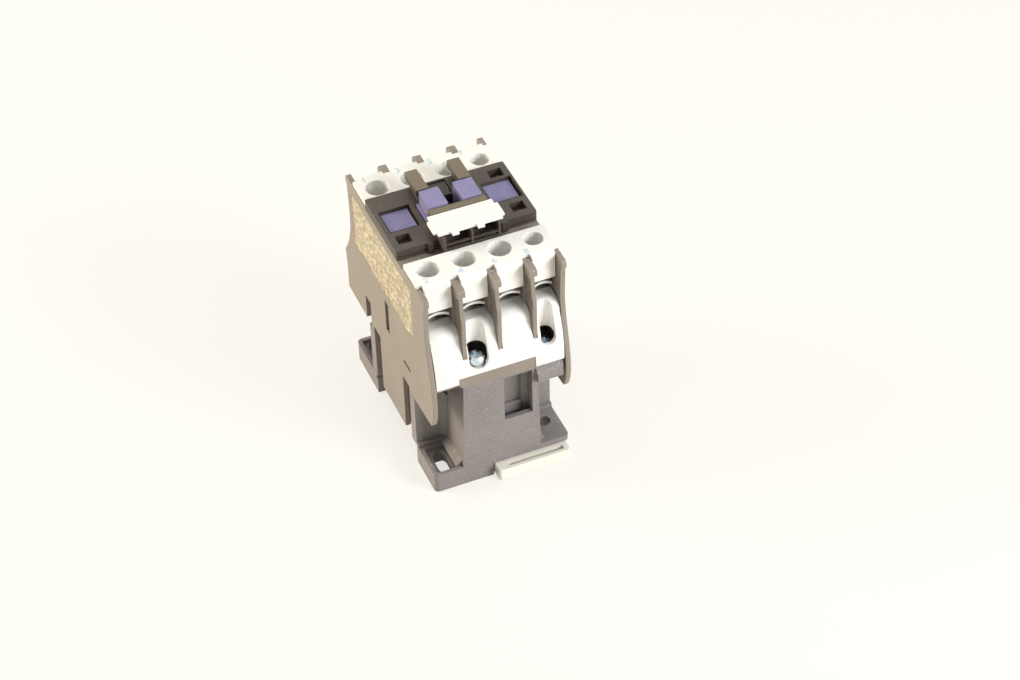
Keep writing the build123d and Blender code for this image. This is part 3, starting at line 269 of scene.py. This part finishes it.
def pale_plastic(name, tone, rough):
    """Pale moulded plastic with a faint uneven tint and a satin surface."""
    finish = Finish(name, Specular_IOR_Level=0.4)
    clouds = finish.noise(45, detail=3)
    shade = tuple(0.94 * value for value in tone)
    finish.set("Base Color", finish.mix(clouds, colour(*shade), colour(*tone)))
    grain = finish.noise(3800, detail=2, roughness=0.5)
    finish.set("Roughness", rough + grain * 0.12)
    finish.bump(grain, strength=0.25, depth=0.04 * MM)
    return finish.material


def carrier_plastic():
    """Violet-blue plastic, dulled and greyed by fine dust."""
    finish = Finish("carrier_plastic", Specular_IOR_Level=0.4)
    clouds = finish.noise(240, detail=4)
    base = finish.mix(clouds, *CARRIER_TONES)
    lint = finish.specks(900, radius=0.12, share=0.14) * 0.6
    finish.set("Base Color", finish.mix(lint, base, DUST))
    grain = finish.noise(4200, detail=2, roughness=0.5)
    finish.set("Roughness", 0.40 + clouds * 0.16)
    finish.bump(grain, strength=0.3, depth=0.04 * MM)
    return finish.material


SCRATCHES = (2600.0, 208.0, 780.0)
SHEETS_PER_METRE = 2000.0
TURN_WAVES = 3300.0


def plated_metal(name, tone, rough, metal=1.0):
    """Plated or bright metal with fine stretched scratches, duller where it is less metal."""
    finish = Finish(name, Metallic=metal)
    lines = finish.noise(1.0, 3.0, stretch=SCRATCHES)
    clouds = finish.noise(400, detail=2)
    dark = tuple(0.78 * value for value in tone)
    finish.set("Base Color", finish.mix(clouds, colour(*dark), colour(*tone)))
    finish.set("Roughness", rough + lines * 0.14)
    finish.bump(lines, strength=0.2, depth=0.02 * MM)
    return finish.material


def laminated_steel():
    """A stack of thin sheets across Y, with darker joints and a little oil."""
    finish = Finish("laminated_steel", Metallic=0.9)
    sheet = finish.node("ShaderNodeMath", {0: finish.axis("Y") * SHEETS_PER_METRE}, operation="FRACT")
    gap = sheet > 0.82
    finish.set("Base Color", finish.mix(gap, *SHEET_TONES))
    finish.set("Roughness", 0.38 + gap * 0.3)
    finish.bump(1.0 - gap, strength=0.5, depth=0.08 * MM)
    return finish.material


def taped_winding():
    """Enamelled copper under yellowed tape, with the turns showing through."""
    finish = Finish("taped_winding", Specular_IOR_Level=0.5)
    turn = finish.node("ShaderNodeMath", {0: finish.axis("Z") * TURN_WAVES}, operation="SINE")
    share = turn * 0.5 + 0.5
    finish.set("Base Color", finish.mix(share, *TURN_TONES))
    finish.set("Roughness", 0.35 + share * 0.2)
    finish.bump(share, strength=0.5, depth=0.1 * MM)
    return finish.material


def soft_rubber():
    """Matt black rubber."""
    finish = Finish("soft_rubber", Specular_IOR_Level=0.25)
    grain = finish.noise(2600, detail=3)
    finish.set("Base Color", finish.mix(grain, *RUBBER_TONES))
    finish.set("Roughness", 0.75 + grain * 0.15)
    finish.bump(grain, strength=0.4, depth=0.08 * MM)
    return finish.material


def printed_ink():
    """Pale blue ink, worn thin in places."""
    finish = Finish("printed_ink", Specular_IOR_Level=0.3)
    worn = finish.noise(2400, detail=3)
    finish.set("Base Color", finish.mix(worn, *INK_TONES))
    finish.set("Roughness", 0.5 + worn * 0.2)
    return finish.material


def dress_nodes():
    """Gives every CAD node the finish of its kind."""
    zinc = plated_metal("zinc_plate", (0.74, 0.84, 0.90), 0.20)
    steel = plated_metal("spring_steel", (0.55, 0.55, 0.56), 0.25)
    by_slot = {
        "black_shell": base_plastic(),
        "white_cover": pale_plastic("cover_plastic", (0.90, 0.895, 0.86), 0.40),
        "marker": pale_plastic("plate_plastic", (0.90, 0.895, 0.87), 0.36),
        "clip": pale_plastic("clip_plastic", (0.89, 0.865, 0.78), 0.42),
        "blue_carrier": carrier_plastic(),
        "zinc_screw": zinc,
        "zinc_washer": plated_metal("washer_plate", (0.93, 0.94, 0.93), 0.28, metal=0.55),
        "contact_brass": plated_metal("tinned_strip", (0.80, 0.78, 0.72), 0.22),
        "coil_brass": plated_metal("tinned_brass", (0.74, 0.70, 0.60), 0.28),
        "core_steel": laminated_steel(),
        "pin_steel": steel,
        "spring_steel": steel,
        "ring_copper": plated_metal("ring_copper", (0.72, 0.36, 0.20), 0.3),
        "pad_rubber": soft_rubber(),
        "bobbin": pale_plastic("bobbin_plastic", (0.60, 0.56, 0.45), 0.5),
        "winding": taped_winding(),
    }
    by_node = {"contact_housing": wall_plastic(), "front_cover": front_plastic()}
    for part in frame["record"]["subparts"]:
        piece = nodes[part["node"]]
        piece.data.materials.clear()
        piece.data.materials.append(by_node.get(part["node"], by_slot[part["material_slot"]]))


# Radii in mm.
EDGE_ROUND = {
    "base_housing": 0.25, "contact_housing": 0.2, "front_cover": 0.15, "marker_plate": 0.15,
    "line_terminal_cover": 0.2, "load_terminal_cover": 0.2, "line_lower_shroud": 0.15,
    "load_lower_shroud": 0.15, "din_clip": 0.25, "contact_carrier": 0.15,
}
WELD_GAP = 0.001
SHARP_ANGLE = 40
EDGE_STEPS = 2


def round_edges():
    """Small rounded edges on the moulded parts, as modifiers over the untouched meshes."""
    for name, radius in EDGE_ROUND.items():
        piece = nodes[name]
        weld = piece.modifiers.new("weld", "WELD")
        weld.merge_threshold = WELD_GAP * MM
        bevel = piece.modifiers.new("edges", "BEVEL")
        bevel.width = radius * MM
        bevel.segments = EDGE_STEPS
        bevel.limit_method = "ANGLE"
        bevel.angle_limit = math.radians(SHARP_ANGLE)
        bevel.use_clamp_overlap = True


UP = (0, 0, 1)
ALONG = (0, 1, 0)
# Each spring, its joint, its direction, the place of its fixed end and the stroke, in mm.
SPRINGS = (
    ("return_springs", "carrier_slide", UP, 35.0, 5.5),
    ("din_clip_spring", "din_clip_slide", ALONG, -31.5, 5.0),
    ("contact_spring_1", "bridge_1_slide", UP, 72.1, 2.0),
    ("contact_spring_2", "bridge_2_slide", UP, 72.1, 2.0),
    ("contact_spring_3", "bridge_3_slide", UP, 72.1, 2.0),
    ("contact_spring_4", "bridge_4_slide", UP, 50.45, 2.0),
)


def press_springs():
    """Gives each spring a mesh of its own."""
    for name, joint, axis, fixed_end, stroke in SPRINGS:
        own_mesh(nodes[name])


# Sizes and places in mm.
NUMERAL_SIZE = 3.3
NUMERAL_SPACING = 1.1
INK_HEIGHT = 0.02
COVER_TOP_Z = 78.5
NUMERAL_X = (-18.9, -7.9, 2.6, 12.9)
NUMERAL_Y = {"line": 25.5, "load": -25.1}


def numeral(number, x, y, ink):
    """One printed terminal number, a thin closed solid on a cover's top."""
    bpy.ops.object.select_all(action="DESELECT")
    bpy.ops.object.text_add(location=(x * MM, y * MM, COVER_TOP_Z * MM))
    piece = bpy.context.active_object
    piece.name = f"terminal_number_{number}"
    piece.data.body = str(number)
    piece.data.size = NUMERAL_SIZE * MM
    piece.data.space_character = NUMERAL_SPACING
    piece.data.align_x = "CENTER"
    piece.data.align_y = "CENTER"
    piece.data.extrude = INK_HEIGHT * MM
    bpy.ops.object.convert(target="MESH")
    bpy.ops.object.transform_apply(location=True, rotation=True, scale=True)
    bpy.ops.object.mode_set(mode="EDIT")
    bpy.ops.mesh.select_all(action="SELECT")
    bpy.ops.mesh.remove_doubles(threshold=WELD_GAP * MM)
    bpy.ops.mesh.normals_make_consistent(inside=False)
    bpy.ops.object.mode_set(mode="OBJECT")
    piece.data.materials.clear()
    piece.data.materials.append(ink)
    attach(piece, "housing")


def print_numerals():
    """Plain odd numbers on the line cover and even numbers on the load cover."""
    ink = printed_ink()
    for index, x in enumerate(NUMERAL_X):
        numeral(2 * index + 1, x, NUMERAL_Y["line"], ink)
        numeral(2 * index + 2, x, NUMERAL_Y["load"], ink)


WARM_WHITE = (1.0, 0.985, 0.95)
COOL_WHITE = (1.0, 0.99, 0.985)
# Each lamp, its place and size in metres, its power in watts and its tint.
LAMPS = (
    ("left_lamp", (-0.70, 0.34, 0.30), 0.4, 6.6, (1.0, 0.88, 0.69)),
    ("front_lamp", (0.50, -0.62, 0.40), 0.4, 7.1, COOL_WHITE),
    ("top_lamp", (0.05, 0.10, 0.90), 0.5, 2.6, WARM_WHITE),
)
ROOM_LIGHT = 0.26
FLOOR_GLOW = 0.72
FLOOR_SIZE = 12
LAMP_AIM = Vector((0, 0, 0.04))


def floor_paper():
    """Cream paper that shows near white to the camera and in reflections, and keeps the shadow."""
    finish = Finish("floor_paper", Roughness=0.9, Specular_IOR_Level=0.1)
    finish.set("Base Color", colour(0.93, 0.90, 0.83))
    seen = finish.node("ShaderNodeLightPath", output="Is Camera Ray")
    mirrored = finish.node("ShaderNodeLightPath", output="Is Glossy Ray")
    glow = finish.node("ShaderNodeEmission", {"Color": colour(1.0, 0.985, 0.94)})
    paper = Socket(finish, finish.shader.outputs[0])
    surface = finish.node("ShaderNodeMixShader", {0: (seen + mirrored) * FLOOR_GLOW, 1: paper, 2: glow})
    finish.feed(finish.tree.nodes["Material Output"].inputs["Surface"], surface)
    return finish.material


def light_room():
    """A dim even room that shows white to the camera and in reflections."""
    world = bpy.data.worlds.new("room")
    bpy.context.scene.world = world
    world.use_nodes = True
    room = Graph(world.node_tree)
    dim = room.node("ShaderNodeBackground", {"Color": colour(*WARM_WHITE), "Strength": ROOM_LIGHT})
    bright = room.node("ShaderNodeBackground", {"Color": colour(*WARM_WHITE), "Strength": 1.0})
    seen = room.node("ShaderNodeLightPath", output="Is Camera Ray")
    mirrored = room.node("ShaderNodeLightPath", output="Is Glossy Ray")
    sky = room.node("ShaderNodeMixShader", {0: seen.either(mirrored), 1: dim, 2: bright})
    room.feed(room.tree.nodes["World Output"].inputs["Surface"], sky)


def studio():
    """The pale floor, the soft light and the world."""
    bpy.ops.object.select_all(action="DESELECT")
    bpy.ops.mesh.primitive_plane_add(size=FLOOR_SIZE, location=(0, 0, 0))
    floor = bpy.context.active_object
    floor.name = "floor"
    floor.data.materials.append(floor_paper())
    light_room()
    for name, place, size, power, tint in LAMPS:
        lamp = bpy.data.lights.new(name, "AREA")
        lamp.energy = power
        lamp.size = size
        lamp.color = tint
        holder = bpy.data.objects.new(name, lamp)
        holder.location = place
        aim = LAMP_AIM - Vector(place)
        holder.rotation_euler = aim.to_track_quat("-Z", "Y").to_euler()
        bpy.context.scene.collection.objects.link(holder)


CAMERA_PLACE = Vector((-0.20604, -0.54770, 0.56625))
CAMERA_AIM = Vector((0.02553, 0.02043, 0.0))
CAMERA_ROLL = math.radians(-1.441)
CAMERA_LENS = 90.03
SENSOR_WIDTH = 36
CAMERA_CLIP = (0.01, 20)


def photo_camera():
    """The camera at the photograph's angle, a little rolled."""
    data = bpy.data.cameras.new("photo_camera")
    data.lens = CAMERA_LENS
    data.sensor_width = SENSOR_WIDTH
    data.clip_start, data.clip_end = CAMERA_CLIP
    camera = bpy.data.objects.new("photo_camera", data)
    turn = (CAMERA_AIM - CAMERA_PLACE).to_track_quat("-Z", "Y").to_matrix()
    turn = turn @ Matrix.Rotation(CAMERA_ROLL, 3, "Z")
    camera.matrix_world = Matrix.Translation(CAMERA_PLACE) @ turn.to_4x4()
    bpy.context.scene.collection.objects.link(camera)
    bpy.context.scene.camera = camera
    bpy.context.scene.view_settings.view_transform = "Standard"


dress_nodes()
round_edges()
press_springs()
print_numerals()
studio()
photo_camera()
